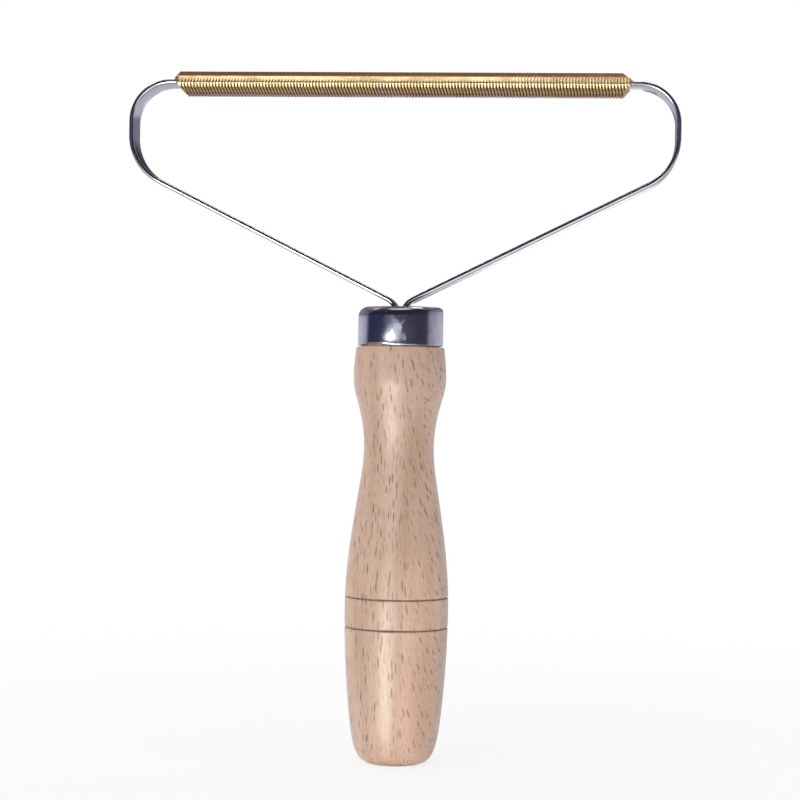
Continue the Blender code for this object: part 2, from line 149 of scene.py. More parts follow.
class StripSettings(bpy.types.PropertyGroup):
    """Sizes and colours of the bent steel strip."""

    width: length("Width", 0.0096, "Width of the strip")
    thickness: length("Thickness", 0.00128, "Thickness of the strip")
    edge_round: length("Edge round", 0.00062, "Rounding of the strip's edges")
    corner_height: length("Corner height", 0.0365, "Height of the loop's side corners above the ferrule")
    top_bend: length("Top bend", 0.0104, "Bend radius of the loop's top corners")
    side_bend: length("Side bend", 0.0136, "Bend radius of the loop's side corners")
    knee_bend: length("Knee bend", 0.0050, "Bend radius over the ferrule")
    knee_height: length("Knee height", 0.0008, "Height of the knees over the ferrule")
    tang_gap: length("Tang gap", 0.0003, "Gap between the two tangs")
    bend_steps: count("Bend steps", 28, "Faces along each bend")
    steel: colour("Steel", (0.60, 0.59, 0.63), "Polished steel")


class SleeveSettings(bpy.types.PropertyGroup):
    """Sizes and colours of the ribbed brass sleeve."""

    wall: length("Wall", 0.0008, "Least wall of the sleeve")
    lip: length("Lip", 0.0012, "Length of the smooth lip at the tip of each end")
    lip_wall: length("Lip wall", 0.00035, "Thickness of the lip where it meets the strip")
    mouth_depth: length("Mouth depth", 0.0025, "How far in the strip is gripped at each end")
    ridge_pitch: length("Ridge pitch", 0.000835, "Distance between two ridges")
    ridge_depth: length("Ridge depth", 0.00042, "Depth of the ridges")
    ridge_lean: length("Ridge lean", 0.0004, "How far the ridges lean over on the lower facets")
    comb: share("Comb", 0.30, "How deep the ridges run into the bright facet at the right end")
    tip_height: length("Tip height", 0.0003, "Height of the ends' blunt points above the strip's middle")
    left_reach: length("Left reach", 0.0005, "How much further the left end reaches")
    left_slant: share("Left slant", 0.32, "How fast the left end draws back above its tip", 4.0)
    right_slant: share("Right slant", 0.97, "How fast the right end draws back above its tip", 4.0)
    slant_below: share("Slant below", 0.78, "How fast an end draws back below its tip", 4.0)
    lip_fade: length("Lip fade", 0.0016, "Height over which the lip fades")
    corner_round: length("Corner round", 0.00011, "Rounding between the pressed facets")
    brass: colour("Brass", (0.92, 0.71, 0.38), "Bright brass")
    # The brown brass on top and underneath is partly tarnish and partly painted shade on the facets that face
    # up and down.
    browned_and_shaded: colour("Browned brass", (0.40, 0.17, 0.07), "Brass that has gone brown, on top and underneath")
    tarnish: colour("Tarnish", (0.14, 0.055, 0.018), "Dark tarnish between the ridges")


class PinSettings(bpy.types.PropertyGroup):
    """Colour of the cross pin."""

    steel: colour("Steel", (0.50, 0.50, 0.52), "Plain steel")


class StageSettings(bpy.types.PropertyGroup):
    """Floor, backdrop, lights and camera."""

    backdrop: colour("Backdrop", (1.0, 1.0, 1.0), "Backdrop and floor")
    camera_distance: length("Camera distance", 0.572, "Distance of the camera from the handle's axis")
    camera_height: length("Camera height", 0.0964, "Height of the camera")
    camera_side: length("Camera side", 0.0001, "How far right of the axis the camera aims")
    camera_turn: angle("Camera turn", 4.4, "How far round to the right the camera stands")
    camera_roll: angle("Camera roll", 0.9, "Roll of the camera")
    lens: FloatProperty(name="Lens", description="Focal length in millimetres", default=96.75, min=1.0)


SETTINGS = {
    "brush_handle": HandleSettings,
    "brush_ferrule": FerruleSettings,
    "brush_strip": StripSettings,
    "brush_sleeve": SleeveSettings,
    "brush_pin": PinSettings,
    "brush_stage": StageSettings,
}


# Profiles and paths


def arc(centre, radius, start, end, steps):
    """Points on an arc from start to end, angles in degrees from the first axis."""
    angles = [math.radians(start + (end - start) * k / steps) for k in range(steps + 1)]
    return [(centre[0] + radius * math.cos(a), centre[1] + radius * math.sin(a)) for a in angles]


def eased_corner(start, corner, end, steps):
    """Points on a smooth curve that leaves start towards the corner and comes to end from the corner."""
    points = []
    for k in range(steps + 1):
        t = k / steps
        weights = ((1 - t) ** 2, 2 * t * (1 - t), t * t)
        points.append(tuple(sum(w * p[i] for w, p in zip(weights, (start, corner, end))) for i in (0, 1)))
    return points


def rounded_path(corners, radii, steps):
    """The corners joined by straight runs, with an arc of the given radius at each inner corner."""
    points = [tuple(corners[0])]
    for before, corner, after, radius in zip(corners, corners[1:], corners[2:], radii):
        corner = Vector(corner)
        back = (Vector(before) - corner).normalized()
        ahead = (Vector(after) - corner).normalized()
        half_angle = back.angle(ahead) / 2
        centre = corner + (back + ahead).normalized() * (radius / math.sin(half_angle))
        start = corner + back * (radius / math.tan(half_angle)) - centre
        end = corner + ahead * (radius / math.tan(half_angle)) - centre
        turn = start.angle(end)
        for k in range(steps + 1):
            t = k / steps
            spoke = start * (math.sin((1 - t) * turn) / math.sin(turn))
            spoke += end * (math.sin(t * turn) / math.sin(turn))
            points.append(tuple(centre + spoke))
    points.append(tuple(corners[-1]))
    return points


def handle_knots(s):
    """The handle's swells and neck as (height, radius, slope), from the end's rounding to the shoulder."""

    def between(low, high, height_share, radius_share, slope_multiple):
        span = high[0] - low[0]
        rise = high[1] - low[1]
        return (low[0] + height_share * span, low[1] + radius_share * rise, slope_multiple * rise / span)

    end = (s.end_round_height, s.end_round_radius, s.end_slope)
    belly = (s.belly_height, s.belly_radius, 0.0)
    neck = (belly[0] + s.neck_above_belly, s.neck_radius, 0.0)
    bulge = (neck[0] + s.bulge_above_neck, s.bulge_radius, 0.0)
    top = bulge[0] + s.shoulder_above_bulge - s.shoulder_round
    fall = (s.shoulder_radius - s.bulge_radius) / (top - bulge[0])
    return (
        end,
        between(end, belly, 0.19, 0.43, 1.43),
        belly,
        between(belly, neck, 0.73, 0.72, 1.48),
        neck,
        between(neck, bulge, 0.62, 0.52, 1.67),
        bulge,
        (top, s.shoulder_radius, 2.1 * fall),
    )


def flank_radius(knots, height):
    """The handle's radius at this height, on the smooth cubics between the knots."""
    for (low, low_radius, low_slope), (high, high_radius, high_slope) in zip(knots, knots[1:]):
        if height <= high or high == knots[-1][0]:
            span = high - low
            t = (height - low) / span
            return (
                (1 + 2 * t) * (1 - t) ** 2 * low_radius
                + t * (1 - t) ** 2 * span * low_slope
                + t * t * (3 - 2 * t) * high_radius
                + t * t * (t - 1) * span * high_slope
            )


def groove_heights(s):
    """Heights of the two burnt grooves, the lower one first."""
    lower = s.belly_height - s.groove_below_belly
    return (lower, lower + s.groove_spacing)


# Rings along the handle's flank and in a groove's width, and the power that widens the grooves' floors.
FLANK_STEPS = 130
GROOVE_STEPS = 12
GROOVE_POWER = 0.7


def handle_profile(s):
    """(radius, height) points from the middle of the flat end up the outside to the spigot's middle."""
    knots = handle_knots(s)
    top = knots[-1][0]
    heights = [knots[0][0] + (top - knots[0][0]) * k / FLANK_STEPS for k in range(FLANK_STEPS + 1)]
    for groove in groove_heights(s):
        heights = [h for h in heights if abs(h - groove) > s.groove_width]
        heights += [groove + s.groove_width * k / GROOVE_STEPS for k in range(-9, 10)]
    profile = [(0.0, 0.0)]
    corner = (s.end_round_radius - s.end_slope * s.end_round_height, 0.0)
    round_end = (s.end_round_radius, s.end_round_height)
    profile += eased_corner((s.end_flat_radius, 0.0), corner, round_end, 18)[:-1]
    for height in sorted(heights):
        radius = flank_radius(knots, height)
        for groove in groove_heights(s):
            across = abs(height - groove) / (s.groove_width / 2)
            if across < 1:
                radius -= s.groove_depth * (0.5 + 0.5 * math.cos(math.pi * across)) ** GROOVE_POWER
        profile.append((radius, height))
    shoulder = top + s.shoulder_round
    round_centre = (s.shoulder_radius - s.shoulder_round, top)
    profile += arc(round_centre, s.shoulder_round, 20, 90, 4)
    ferrule = bpy.context.scene.brush_ferrule
    spigot = ferrule.radius - ferrule.wall - FIT
    chamfer = ferrule.shoulder - ferrule.wall - FIT
    spigot_top = FERRULE_HIGH.z - ferrule.wall - FIT
    profile += [(spigot, shoulder), (spigot, spigot_top - chamfer), (spigot - chamfer, spigot_top)]
    profile.append((0.0, spigot_top))
    return profile


def strip_path(s):
    """Centre line of the strip in the XZ plane, from the left tang's end over the loop to the right one's."""
    offset = (s.thickness + s.tang_gap) / 2
    side_reach = STRIP_HIGH.x - s.thickness / 2
    top = STRIP_HIGH.z - s.thickness / 2
    right = [
        (0.0, top),
        (side_reach, top),
        (side_reach, FERRULE_HIGH.z + s.corner_height),
        (offset, FERRULE_HIGH.z + s.knee_height),
        (offset, STRIP_LOW.z),
    ]
    down = rounded_path(right, [s.top_bend, s.side_bend, s.knee_bend], s.bend_steps)
    left = [(-x, z) for x, z in reversed(down[1:])]
    return left + down


def leg_reach(s, level):
    """How far from the middle the right leg's outer face is at this level."""
    path = [Vector(p) for p in reversed(strip_path(s)) if p[0] > 0]
    faces = []
    for before, point, after in zip(path, path[1:], path[2:]):
        along = (after - before).normalized()
        faces.append(point + Vector((along.y, -along.x)) * (s.thickness / 2))
    for low, high in zip(faces, faces[1:]):
        if high.y >= level:
            part = max(0.0, (level - low.y) / (high.y - low.y))
            return low.x + part * (high.x - low.x)
    raise ValueError("the level lies above the loop")


# Mesh helpers


def finished_piece(name, mesh, material, stands_for):
    """A closed mesh as a piece that rides with the brush in place of its plain solid."""
    obj = helper_object(name, mesh)
    mesh.materials.clear()
    mesh.materials.append(material)
    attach(obj, "root")
    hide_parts(stands_for)


def mesh_from(shape, name):
    """Merges what lies together, turns every face outwards and hands the shape over as a smooth mesh."""
    bmesh.ops.remove_doubles(shape, verts=shape.verts, dist=WELD_DISTANCE)
    bmesh.ops.recalc_face_normals(shape, faces=shape.faces)
    for face in shape.faces:
        face.smooth = True
    mesh = bpy.data.meshes.new(name)
    shape.to_mesh(mesh)
    shape.free()
    return mesh


def turned(name, profile, steps):
    """A profile of (radius, height) points spun a full turn about the Z axis."""
    shape = bmesh.new()
    line = [shape.verts.new((radius, 0, height)) for radius, height in profile]
    edges = [shape.edges.new(pair) for pair in zip(line, line[1:])]
    turn = {"cent": (0, 0, 0), "axis": (0, 0, 1), "angle": math.tau, "steps": steps}
    bmesh.ops.spin(shape, geom=line + edges, use_merge=True, use_duplicate=False, **turn)
    return mesh_from(shape, name)


def helper_object(name, data):
    """An object with this data, in the scene."""
    obj = bpy.data.objects.new(name, data)
    bpy.context.scene.collection.objects.link(obj)
    return obj


def applied(body, cutters=()):
    """What an object's modifiers make of its mesh. The object goes, and so does what cut it."""
    bpy.context.view_layer.update()
    graph = bpy.context.evaluated_depsgraph_get()
    mesh = bpy.data.meshes.new_from_object(body.evaluated_get(graph))
    for obj in (body, *cutters):
        bpy.data.objects.remove(obj, do_unlink=True)
    return mesh


def carved(mesh, cutters):
    """The mesh with each cutter taken away from it, and with its sharp edges kept crisp."""
    body = helper_object(mesh.name + "_blank", mesh)
    for cutter in cutters:
        modifier = body.modifiers.new(cutter.name, "BOOLEAN")
        modifier.operation = "DIFFERENCE"
        modifier.solver = "EXACT"
        modifier.object = cutter
    result = applied(body, cutters)
    result.set_sharp_from_angle(angle=CUT_EDGE_ANGLE)
    return result


def pin_bore():
    """A rod along the cross pin's axis, wider than the pin by the fit."""
    low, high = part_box("tang_pin")
    shape = bmesh.new()
    radius = (high.z - low.z) / 2 + FIT
    bmesh.ops.create_cone(
        shape,
        cap_ends=True,
        segments=48,
        radius1=radius,
        radius2=radius,
        depth=2 * (high.x + CUT_MARGIN),
        matrix=Matrix.Translation((0, 0, (low.z + high.z) / 2)) @ Matrix.Rotation(math.pi / 2, 4, "Y"),
    )
    return helper_object("pin_bore", mesh_from(shape, "pin_bore"))


def box_cutter(name, low, high, mouth_from=None, mouth=None):
    """A box, whose sides may open out to a wider mouth from a given level up to its top."""
    shape = bmesh.new()
    bmesh.ops.create_grid(shape, x_segments=1, y_segments=1, size=0.5)
    size = Vector(high) - Vector(low)
    bmesh.ops.scale(shape, vec=(size.x, size.y, 1), verts=shape.verts)
    middle = (Vector(low) + Vector(high)) / 2
    bmesh.ops.translate(shape, vec=(middle.x, middle.y, low[2]), verts=shape.verts)
    faces = list(shape.faces)
    levels = [(high[2], size.x)] if mouth is None else [(mouth_from, size.x), (high[2], mouth)]
    level_below, width_below = low[2], size.x
    for level, width in levels:
        raised = bmesh.ops.extrude_face_region(shape, geom=faces)["geom"]
        verts = [item for item in raised if isinstance(item, bmesh.types.BMVert)]
        bmesh.ops.translate(shape, vec=(0, 0, level - level_below), verts=verts)
        bmesh.ops.scale(shape, vec=(width / width_below, 1, 1), verts=verts)
        if faces[0].is_valid and level_below > low[2]:
            bmesh.ops.delete(shape, geom=faces, context="FACES_ONLY")
        faces = [item for item in raised if isinstance(item, bmesh.types.BMFace)]
        level_below, width_below = level, width
    return helper_object(name, mesh_from(shape, name))


# Node helpers


class Nodes:
    """Adds nodes to a tree. What a node is given is joined to its sockets, or set there if it is a value."""

    def __init__(self, tree):
        self.tree = tree

    def fill(self, socket, value):
        """Joins a value to a socket if it is one, and sets it there if not."""
        if isinstance(value, bpy.types.NodeSocket):
            self.tree.links.new(value, socket)
        elif socket.type == "RGBA":
            socket.default_value = (*value[:3], 1.0)
        else:
            socket.default_value = value

    def node(self, kind, values=None, **options):
        """A node of this kind with its options set, and its sockets filled by name or number."""
        node = self.tree.nodes.new("ShaderNode" + kind)
        for option, value in options.items():
            setattr(node, option, value)
        for socket, value in (values or {}).items():
            self.fill(node.inputs[socket], value)
        return node

    def output(self, kind, name):
        return self.node(kind).outputs[name]

    def maths(self, operation, first, second=0.0, clamp=False):
        return self.node("Math", {0: first, 1: second}, operation=operation, use_clamp=clamp).outputs[0]

    def plus(self, first, second, clamp=False):
        return self.maths("ADD", first, second, clamp)

    def minus(self, first, second, clamp=False):
        return self.maths("SUBTRACT", first, second, clamp)

    def product(self, first, *others):
        for other in others:
            first = self.maths("MULTIPLY", first, other)
        return first

    def apart(self, first, second):
        """How far two values are from each other."""
        return self.maths("ABSOLUTE", self.minus(first, second))

    def vectors(self, operation, first, second=(0, 0, 0)):
        node = self.node("VectorMath", {0: first, 1: second}, operation=operation)
        return node.outputs["Value" if operation == "LENGTH" else "Vector"]

    def split(self, vector):
        return self.node("SeparateXYZ", {0: vector}).outputs

    def step(self, value, low, high, start=0.0, end=1.0):
        """Runs smoothly from start to end while the value runs from low to high."""
        values = {"Value": value, "From Min": low, "From Max": high, "To Min": start, "To Max": end}
        return self.node("MapRange", values, interpolation_type="SMOOTHSTEP").outputs["Result"]

    def mix(self, amount, first, second, blend_type="MIX"):
        """Two colours mixed by an amount."""
        values = {0: amount, 6: first, 7: second}
        return self.node("Mix", values, data_type="RGBA", blend_type=blend_type).outputs[2]

    def stretched(self, vector, scale, turn=(0.0, 0.0, 0.0)):
        """The coordinates turned and scaled for a pattern."""
        return self.node("Mapping", {"Vector": vector, "Scale": scale, "Rotation": turn}).outputs["Vector"]

    def noise(self, vector, scale, detail, roughness=0.5):
        values = {"Vector": vector, "Scale": scale, "Detail": detail, "Roughness": roughness}
        return self.node("TexNoise", values).outputs["Fac"]

    def streaks(self, vector, scale, detail, roughness=0.5):
        """Noise with a scale of its own along each axis."""
        return self.noise(self.stretched(vector, scale), 1.0, detail, roughness)

    def bump(self, height, strength, distance, below=None):
        values = {"Height": height, "Strength": strength, "Distance": distance}
        if below is not None:
            values["Normal"] = below
        return self.node("Bump", values).outputs["Normal"]

    def effect(self, name, values):
        """What the shared effect of this name puts out, given these values."""
        return self.node("Group", values, node_tree=effect_group(name)).outputs

    def finish(self, colour, rough, normal):
        shader = self.tree.nodes["Principled BSDF"]
        for socket, value in (("Base Color", colour), ("Roughness", rough), ("Normal", normal)):
            self.fill(shader.inputs[socket], value)


def scratches(n, given):
    """Fine scratches and polishing lines: a mask that is 1 on a scratch."""
    sizes = n.node("CombineXYZ", {0: given["Across"], 1: given["Across"], 2: given["Along"]}).outputs[0]
    field = n.noise(n.vectors("MULTIPLY", given["Vector"], sizes), 1.0, 0.0)
    line = n.minus(1.0, n.maths("DIVIDE", n.apart(field, 0.5), given["Width"]), clamp=True)
    patch = n.step(n.noise(given["Vector"], 160.0, 1.0), given["Spread"], 0.75)
    return {"Mask": n.product(line, patch)}


def handling(n, given):
    """What use leaves on any finish: broad smudges, and a fine unevenness of the surface."""
    smudge = n.noise(given["Vector"], given["Smudge Size"], 3.0, 0.6)
    return {"Smudge": n.step(smudge, 0.38, 0.68), "Unevenness": n.noise(given["Vector"], 2600.0, 2.0)}


def ray_flecks(n, given):
    """Wood rays cut by the surface: thin marks, long along the grain, that lean over on the right side."""
    place = n.vectors("DIVIDE", given["Vector"], given["Spacing"])
    cells = n.node("TexVoronoi", {"Vector": place, "Scale": 1.0, "Randomness": 1.0}).outputs
    middle = n.vectors("MULTIPLY", cells["Position"], given["Spacing"])
    offset = n.vectors("SUBTRACT", given["Vector"], middle)
    lean = n.product(n.step(n.split(middle)["X"], 0.0, 0.008, 0.0, 0.36), n.split(offset)["Z"])
    leant = n.vectors("ADD", offset, n.node("CombineXYZ", {0: lean}).outputs[0])
    inside = n.step(n.vectors("LENGTH", n.vectors("DIVIDE", leant, given["Half Size"])), 1.0, 0.55)
    random = n.node("SeparateColor", {0: cells["Color"]}).outputs
    chosen = n.maths("LESS_THAN", random[0], given["Share"])
    return {"Mask": n.product(inside, chosen), "Tone": random[1]}


# Effects that are placed more than once: how each is made, and its inputs by their kind.
EFFECTS = {
    "fine_scratches": (scratches, {"Vector": ("Vector",), "Float": ("Across", "Along", "Width", "Spread")}),
    "handling_marks": (handling, {"Vector": ("Vector",), "Float": ("Smudge Size",)}),
    "ray_flecks": (ray_flecks, {"Vector": ("Vector", "Spacing", "Half Size"), "Float": ("Share",)}),
}


def effect_group(name):
    """The node group of this effect, made the first time it is asked for."""
    if name in bpy.data.node_groups:
        return bpy.data.node_groups[name]
    make, inputs = EFFECTS[name]
    group = bpy.data.node_groups.new(name, "ShaderNodeTree")
    for kind, labels in inputs.items():
        for label in labels:
            group.interface.new_socket(name=label, in_out="INPUT", socket_type="NodeSocket" + kind)
    n = Nodes(group)
    results = make(n, group.nodes.new("NodeGroupInput").outputs)
    for label in results:
        group.interface.new_socket(name=label, in_out="OUTPUT", socket_type="NodeSocketFloat")
    end = group.nodes.new("NodeGroupOutput")
    for label, value in results.items():
        n.fill(end.inputs[label], value)
    return group


def new_material(name, smudge_size, **constants):
    """A material with its shader's own constants set: its nodes, object coordinates and marks of handling."""
    material = bpy.data.materials.new(name)
    material.use_nodes = True
    n = Nodes(material.node_tree)
    for socket, value in constants.items():
        n.fill(n.tree.nodes["Principled BSDF"].inputs[socket.replace("_", " ")], value)
    place = n.output("TexCoord", "Object")
    marks = n.effect("handling_marks", {"Vector": place, "Smudge Size": smudge_size})
    return material, n, place, marks


# Materials


def beech_material(s):
    """Sanded and oiled beech: fine fibres, soft growth bands, dark ray flecks and two burnt grooves."""
    material, n, place, marks = new_material(
        "oiled_beech",
        70.0,
        Metallic=0.0,
        Coat_Weight=0.50,
        Coat_Roughness=0.36,
        IOR=1.50,
        Specular_IOR_Level=0.80,
        Sheen_Weight=0.25,
        Sheen_Roughness=0.40,
        Sheen_Tint=(0.90, 0.88, 1.0),
    )
    sway = n.product(n.minus(n.streaks(place, (90, 90, 45), 1.0), 0.5), 0.0016)
    shift = n.node("CombineXYZ", {0: sway}).outputs[0]
    grain = n.vectors("ADD", n.stretched(place, (1, 1, 1), (0, 0, math.radians(22))), shift)
    fibres = n.streaks(grain, (2600, 2600, 150), 3.0, 0.6)
    bands = n.streaks(grain, (260, 90, 22), 2.0)
    tone = n.plus(n.product(fibres, 0.45), n.product(bands, 0.75))
    wood = n.mix(n.step(tone, 0.40, 0.80), s.pale_wood, s.deep_wood)

    swayed = n.vectors("ADD", place, shift)
    strong, faint = (
        n.effect("ray_flecks", {"Vector": swayed, "Spacing": spacing, "Half Size": half_size, "Share": part})
        for spacing, half_size, part in (
            ((0.00105, 0.0016, 0.0036), (0.00024, 0.0006, 0.0019), 0.85),
            ((0.00075, 0.0012, 0.0026), (0.00017, 0.0005, 0.0012), 0.9),
        )
    )
    strong_mask = n.product(strong["Mask"], n.step(strong["Tone"], 0.0, 1.0, 0.40, 1.0))
    flecks = n.maths("MAXIMUM", strong_mask, n.product(faint["Mask"], 0.36), clamp=True)
    wood = n.mix(n.product(flecks, 0.92), wood, s.fleck_brown)

    ragged = n.product(n.minus(n.streaks(place, (700, 700, 700), 3.0), 0.5), 0.0003)
    burn = 0.0
    for groove in groove_heights(s):
        away = n.plus(n.apart(n.split(place)["Z"], groove), ragged)
        burn = n.maths("MAXIMUM", burn, n.step(away, s.groove_width * 0.46, s.groove_width * 0.16))
    wood = n.mix(n.product(burn, 0.93), wood, s.burnt_brown)

    end_grain = n.step(n.split(n.output("NewGeometry", "Normal"))["Z"], -0.75, -0.97)
    pores = n.node("TexVoronoi", {"Vector": place, "Scale": 3600.0}).outputs["Distance"]
    dark_end = n.mix(0.55, wood, s.deep_wood, "MULTIPLY")
    dark_end = n.mix(n.product(n.step(pores, 0.42, 0.18), 0.5), dark_end, s.fleck_brown)
    wood = n.mix(n.product(end_grain, 0.7), wood, dark_end)
    wood = n.mix(n.product(marks["Smudge"], 0.10), wood, s.deep_wood)

    rough = n.plus(n.step(marks["Smudge"], 0.0, 1.0, 0.40, 0.50), n.product(flecks, 0.12))
    rough = n.plus(rough, n.product(burn, 0.25), clamp=True)
    height = n.minus(n.product(fibres, 0.5), n.product(flecks, 0.5))
    n.finish(wood, rough, n.bump(height, 0.55, 0.00008))
    return material


# Shallow hollows in the ferrule's front, one in the other: centre, spread and depth.
HOLLOWS = (
    ((-0.0016, -0.0112, 0.1106), 0.0033, 0.00040),
    ((-0.0020, -0.0112, 0.1110), 0.0014, 0.00011),
)
# The press creases beside them: the point they run round, how near and far they lie, and their spacing.
CREASES = ((-0.0084, -0.0112, 0.1102), (0.0080, 0.0113), 0.00052)


def hollow(n, place, centre, spread):
    """A soft round dip about the centre: 0 in its middle and 1 around it."""
    away = n.vectors("LENGTH", n.vectors("SUBTRACT", place, centre))
    square = n.maths("POWER", n.maths("DIVIDE", away, spread), 2.0)
    return n.minus(1.0, n.maths("EXPONENT", n.product(square, -0.5)))


def curved_creases(n, place, centre, reach, spacing):
    """Thin curved lines that run round the centre between two distances from it, seen from the front."""
    flat = n.vectors("MULTIPLY", n.vectors("SUBTRACT", place, centre), (1, 0, 1))
    away = n.vectors("LENGTH", flat)
    broken = n.streaks(place, (700, 700, 250), 2.0)
    phase = n.plus(n.product(away, math.tau / spacing), n.product(broken, 5.0))
    return n.product(
        n.step(n.maths("SINE", phase), 0.55, 1.0),
        n.step(broken, 0.40, 0.55),
        n.step(away, reach[0], reach[0] + spacing),
        n.step(away, reach[1], reach[1] - spacing),
        n.step(n.split(place)["Y"], -0.0090, -0.0105),
    )


def polished_steel_material(name, steel, roughness, scratch_angle, dents_depth, dented=False):
    """Polished steel with smudges, polishing lines and fine scratches."""
    material, n, place, marks = new_material(name, 180.0, Metallic=1.0)
    values = {"Across": 1500.0, "Along": 26.0, "Width": 0.02, "Spread": 0.50}
    values["Vector"] = n.stretched(place, (1, 1, 1), (0, math.radians(scratch_angle), 0))
    scratch = n.effect("fine_scratches", values)["Mask"]
    shade = n.mix(marks["Smudge"], steel, [c * 0.86 for c in steel])
    shade = n.mix(n.product(scratch, 0.3), shade, [min(1, c * 1.25) for c in steel])
    rough = n.step(marks["Smudge"], 0.0, 1.0, roughness, roughness + 0.03)
    rough = n.plus(rough, n.product(scratch, 0.25))
    normal = n.bump(n.noise(n.stretched(place, (1, 1, 0.6)), 130.0, 2.0, 0.4), 0.5, dents_depth)
    if dented:
        for centre, spread, depth in HOLLOWS:
            normal = n.bump(hollow(n, place, centre, spread), 1.0, depth, normal)
        normal = n.bump(curved_creases(n, place, *CREASES), 0.5, 0.00004, normal)
    normal = n.bump(marks["Unevenness"], 0.04, 0.00005, normal)
    n.finish(shade, rough, n.bump(scratch, 0.08, 0.00004, normal))
    return material


def brass_material(s):
    """Ribbed brass, bright on the ridges, with tarnish between them, and brown on top and underneath, partly
    tarnish and partly painted shade.
    """
    material, n, place, marks = new_material("ribbed_brass", 140.0, Metallic=1.0)
    layers = ("valley", "crown")
    valley, crown = (n.node("Attribute", attribute_name=layer).outputs["Fac"] for layer in layers)
    speckle = n.streaks(place, (900, 1500, 1500), 3.0, 0.65)
    lines = n.streaks(place, (2600, 260, 260), 2.0)
    dirt = n.step(n.plus(valley, n.product(n.minus(speckle, 0.5), 0.4)), 0.12, 0.70)
    # Painted shade with tarnish: the facets that face up and down are coloured brown.
    browned_and_shaded = n.product(n.step(crown, 0.50, 0.62), n.step(speckle, 0.25, 0.65, 0.85, 1.0))
    brass = n.mix(n.step(lines, 0.50, 0.72, 0.0, 0.35), s.brass, (0.60, 0.40, 0.18))
    brass = n.mix(n.product(marks["Smudge"], 0.20), brass, (0.68, 0.46, 0.22))
    brass = n.mix(browned_and_shaded, brass, s.browned_and_shaded)
    brass = n.mix(n.product(dirt, 0.90), brass, s.tarnish)
    rough = n.plus(n.step(marks["Smudge"], 0.0, 1.0, 0.26, 0.36), n.product(dirt, 0.20), clamp=True)
    normal = n.bump(speckle, 0.30, 0.00005, n.bump(lines, 0.35, 0.00006))
    n.finish(brass, rough, n.bump(marks["Unevenness"], 0.10, 0.00003, normal))
    return material


def pin_material(s):
    """Plain drawn steel with lines along the pin."""
    material, n, place, marks = new_material("drawn_pin_steel", 200.0, Metallic=1.0)
    lines = n.streaks(place, (120, 2400, 2400), 2.0)
    shade = n.mix(n.step(lines, 0.35, 0.70), s.steel, [c * 0.75 for c in s.steel])
    n.finish(shade, n.step(marks["Smudge"], 0.0, 1.0, 0.34, 0.48), n.bump(lines, 0.25, 0.00004))
    return material


# Pieces


class BRUSH_OT_turn_handle(bpy.types.Operator):
    """Turn the beech handle with its grooves, spigot, mortise and cross hole"""

    bl_idname = "brush.turn_handle"
    bl_label = "Turn the handle"
    bl_options = {"REGISTER", "UNDO"}

    def execute(self, context):
        s = context.scene.brush_handle
        strip = context.scene.brush_strip
        blank = turned("turned_handle", handle_profile(s), s.turning_steps)
        half = strip.tang_gap / 2 + strip.thickness + FIT
        deep = strip.width / 2 + FIT
        knee = FERRULE_HIGH.z + strip.knee_height - strip.knee_bend
        mouth = 2 * (leg_reach(strip, HANDLE_HIGH.z) + FIT)
        low = (-half, -deep, STRIP_LOW.z - FIT)
        mortise = box_cutter("mortise", low, (half, deep, HANDLE_HIGH.z + CUT_MARGIN), knee, mouth)
        mesh = carved(blank, [mortise, pin_bore()])
        finished_piece("turned_handle", mesh, beech_material(s), "wood_handle")
        return {"FINISHED"}


def bend_rim(mesh, s):
    """Lifts the ferrule's lower rim a little on the left of its front, where it was knocked."""
    middle, half = math.radians(-35), math.radians(38)
    for vert in mesh.vertices:
        angle = (math.atan2(vert.co.x, -vert.co.y) - middle) / half
        height = (vert.co.z - FERRULE_LOW.z) / s.rim_reach
        if abs(angle) < 1 and height < 1:
            vert.co.z += s.rim_lift * math.cos(angle * math.pi / 2) ** 2 * (1 - height)


def square_up(mesh, s, centre):
    """Draws the ferrule's shoulder tighter on its right side."""
    for vert in mesh.vertices:
        radius = math.hypot(vert.co.x, vert.co.y)
        spoke = Vector((radius - centre[0], vert.co.z - centre[1]))
        if min(spoke) > -SLACK and abs(spoke.length - s.shoulder) < 10 * SLACK:
            side = max(0.0, vert.co.x / radius)
            part = side * side * (3 - 2 * side) * (1 - s.square_shoulder / s.shoulder)
            corner = Vector((s.radius, FERRULE_HIGH.z)) - Vector((s.shoulder, s.shoulder)) * (1 - part)
            new = corner + spoke * (1 - part)
            vert.co = (vert.co.x * new.x / radius, vert.co.y * new.x / radius, new.y)


class BRUSH_OT_draw_ferrule(bpy.types.Operator):
    """Draw the steel ferrule and slot its top for the legs"""

    bl_idname = "brush.draw_ferrule"
    bl_label = "Draw the ferrule"
    bl_options = {"REGISTER", "UNDO"}

    def execute(self, context):
        s = context.scene.brush_ferrule
        strip = context.scene.brush_strip
        low, top = FERRULE_LOW.z, FERRULE_HIGH.z
        inner = s.radius - s.wall
        centre = (s.radius - s.shoulder, top - s.shoulder)
        profile = [(0.0, top)] + arc(centre, s.shoulder, 90, 0, 14)
        profile += [(s.radius, centre[1] - s.rim_round), (s.radius, low + 3 * s.rim_round)]
        profile += arc((s.radius - s.rim_round, low + s.rim_round), s.rim_round, 0, -90, 4)
        profile += [(inner, low)] + arc(centre, s.shoulder - s.wall, 0, 90, 10) + [(0.0, top - s.wall)]
        blank = turned("drawn_ferrule", profile, s.turning_steps)
        bend_rim(blank, s)
        square_up(blank, s, centre)
        reach = leg_reach(strip, top) + FIT
        deep = strip.width / 2 + FIT
        slot_low = (-reach, -deep, top - s.wall - CUT_MARGIN)
        mesh = carved(blank, [box_cutter("leg_slot", slot_low, (reach, deep, top + CUT_MARGIN))])
        steel = polished_steel_material("polished_ferrule", s.steel, 0.15, -35, 0.00010, dented=True)
        finished_piece("drawn_ferrule", mesh, steel, "steel_ferrule")
        return {"FINISHED"}


